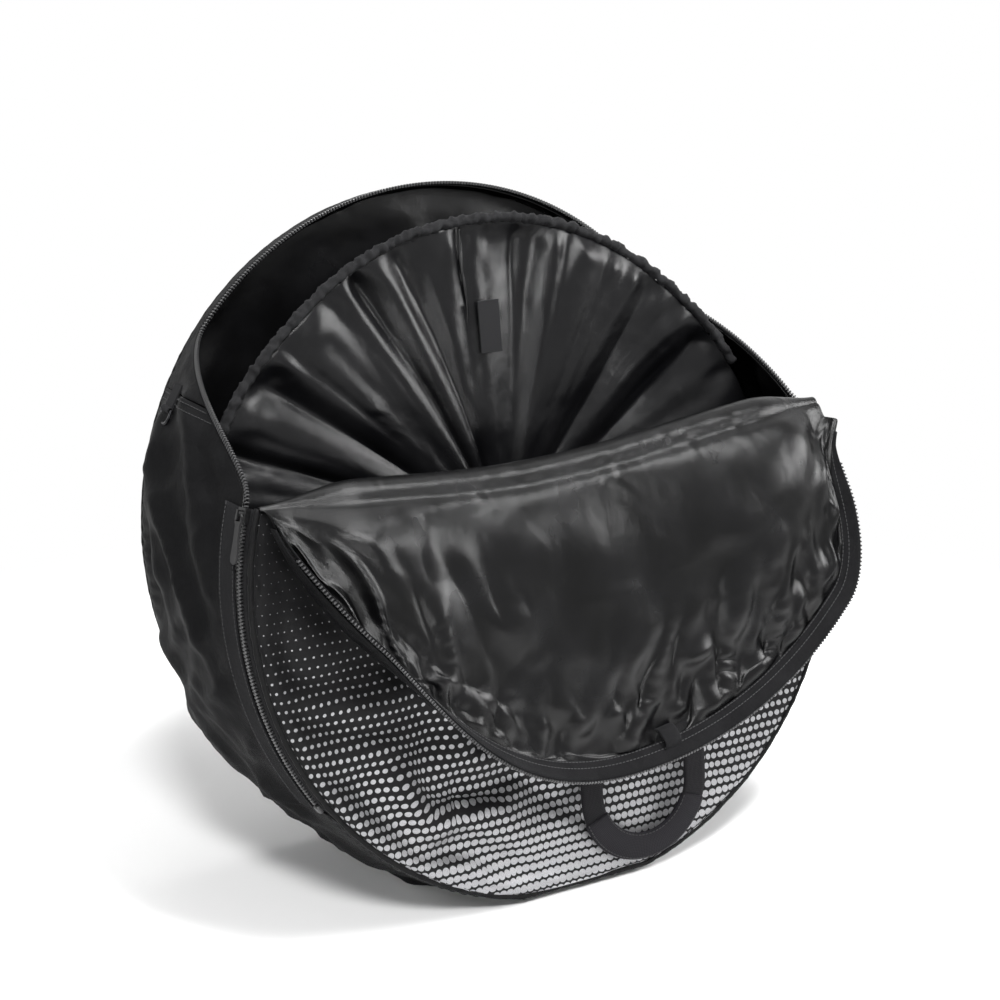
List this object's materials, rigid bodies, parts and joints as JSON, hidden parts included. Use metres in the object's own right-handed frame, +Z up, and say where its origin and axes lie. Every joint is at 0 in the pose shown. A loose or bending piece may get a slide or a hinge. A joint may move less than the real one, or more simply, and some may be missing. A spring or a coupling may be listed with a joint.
{
  "type": "bike wheel bag",
  "caption": "Round padded carry bag for a pair of road bicycle wheels, zipped round its upper half, standing open with its front folded down.",
  "frame": {"origin": "middle of the flat base that the bag stands on", "axes": "+X to the right of the opening front, +Y from the front to the rear, +Z up"},
  "size_m": [0.6968, 0.4254, 0.6666],
  "materials": {
    "printed_polyester": "black woven polyester with a silver dot print",
    "black_polyester": "plain black woven polyester",
    "foam": "closed-cell foam padding, hidden",
    "satin_lining": "black satin lining with a soft sheen",
    "piping": "cloth-covered cord",
    "zip_tape": "woven zip tape",
    "zip_teeth": "black nylon",
    "webbing": "black polypropylene webbing",
    "grip": "padded webbing",
    "slider": "black painted zinc",
    "pull_tab": "moulded black rubber",
    "ring": "black nickel-plated steel",
    "elastic": "gathered elastic hem",
    "hook_and_loop": "hook-and-loop pile"
  },
  "bodies": {
    "bag": {"front_panel": "printed_polyester", "front_foam": "foam", "front_lining": "satin_lining", "front_fold": "satin_lining", "rear_panel": "black_polyester", "rear_foam": "foam", "rear_lining": "satin_lining", "front_piping": "piping", "rear_piping": "piping", "gusset_lower": "black_polyester", "gusset_upper": "black_polyester", "gusset_lining_lower": "satin_lining", "gusset_lining_upper": "satin_lining", "gusset_tape": "zip_tape", "gusset_teeth": "zip_teeth", "front_tape_left": "zip_tape", "front_tape_right": "zip_tape", "front_teeth_left": "zip_teeth", "front_teeth_right": "zip_teeth", "zip_facing_left": "webbing", "zip_facing_right": "webbing", "zip_stop_left": "zip_teeth", "zip_stop_right": "zip_teeth", "divider": "satin_lining", "divider_hem": "elastic", "divider_tab": "hook_and_loop", "rear_patch_left": "webbing", "rear_patch_right": "webbing", "ring_loop_left": "webbing", "ring_loop_right": "webbing"},
    "flap": {"flap_panel": "printed_polyester", "flap_foam": "foam", "flap_lining": "satin_lining", "flap_piping": "piping", "flap_gusset": "satin_lining", "flap_tape": "zip_tape", "flap_teeth": "zip_teeth", "flap_loop": "webbing", "front_patch_left": "webbing", "front_patch_right": "webbing"},
    "front_handle": {"front_handle": "webbing", "front_grip": "grip"},
    "rear_handle": {"rear_handle": "webbing", "rear_grip": "grip"},
    "slider_left": {"slider_left": "slider"},
    "slider_right": {"slider_right": "slider"},
    "pull_tab_left": {"pull_tab_left": "pull_tab"},
    "pull_tab_right": {"pull_tab_right": "pull_tab"},
    "ring_left": {"ring_left": "ring"},
    "ring_right": {"ring_right": "ring"}
  },
  "joints": [
    {"name": "flap_fold", "type": "hinge", "parent": "bag", "child": "flap", "pos_m": [0, -0.07301, 0.43376], "axis": [-1, 0, 0], "range_deg": [0, 180]},
    {"name": "slider_left_travel", "type": "hinge", "parent": "bag", "child": "slider_left", "pos_m": [0, -0.07622, 0.33111], "axis": [0, -0.989, 0.1478], "range_deg": [0, 49]},
    {"name": "slider_right_travel", "type": "hinge", "parent": "bag", "child": "slider_right", "pos_m": [0, -0.07622, 0.33111], "axis": [0, 0.989, -0.1478], "range_deg": [0, 49]},
    {"name": "pull_tab_left_swing", "type": "hinge", "parent": "slider_left", "child": "pull_tab_left", "pos_m": [-0.33014, -0.04487, 0.42452], "axis": [0, 0.989, -0.1478], "range_deg": [0, 130]},
    {"name": "pull_tab_right_swing", "type": "hinge", "parent": "slider_right", "child": "pull_tab_right", "pos_m": [0.33014, -0.04487, 0.42452], "axis": [0, -0.989, 0.1478], "range_deg": [0, 130]},
    {"name": "ring_left_swing", "type": "hinge", "parent": "bag", "child": "ring_left", "pos_m": [-0.3136, 0.14903, 0.47765], "axis": [0.1309, 0.9894, -0.0632], "range_deg": [0, 110]},
    {"name": "ring_right_swing", "type": "hinge", "parent": "bag", "child": "ring_right", "pos_m": [0.3136, 0.14903, 0.47765], "axis": [0.1309, -0.9894, 0.0632], "range_deg": [0, 110]},
    {"name": "front_handle_swing", "type": "hinge", "parent": "flap", "child": "front_handle", "pos_m": [0.07, -0.1035, 0.29069], "axis": [1, 0, 0], "range_deg": [-3.5, 0]},
    {"name": "rear_handle_swing", "type": "hinge", "parent": "bag", "child": "rear_handle", "pos_m": [0, 0.21308, 0.57165], "axis": [1, 0, 0], "range_deg": [-8, 165]}
  ]
}
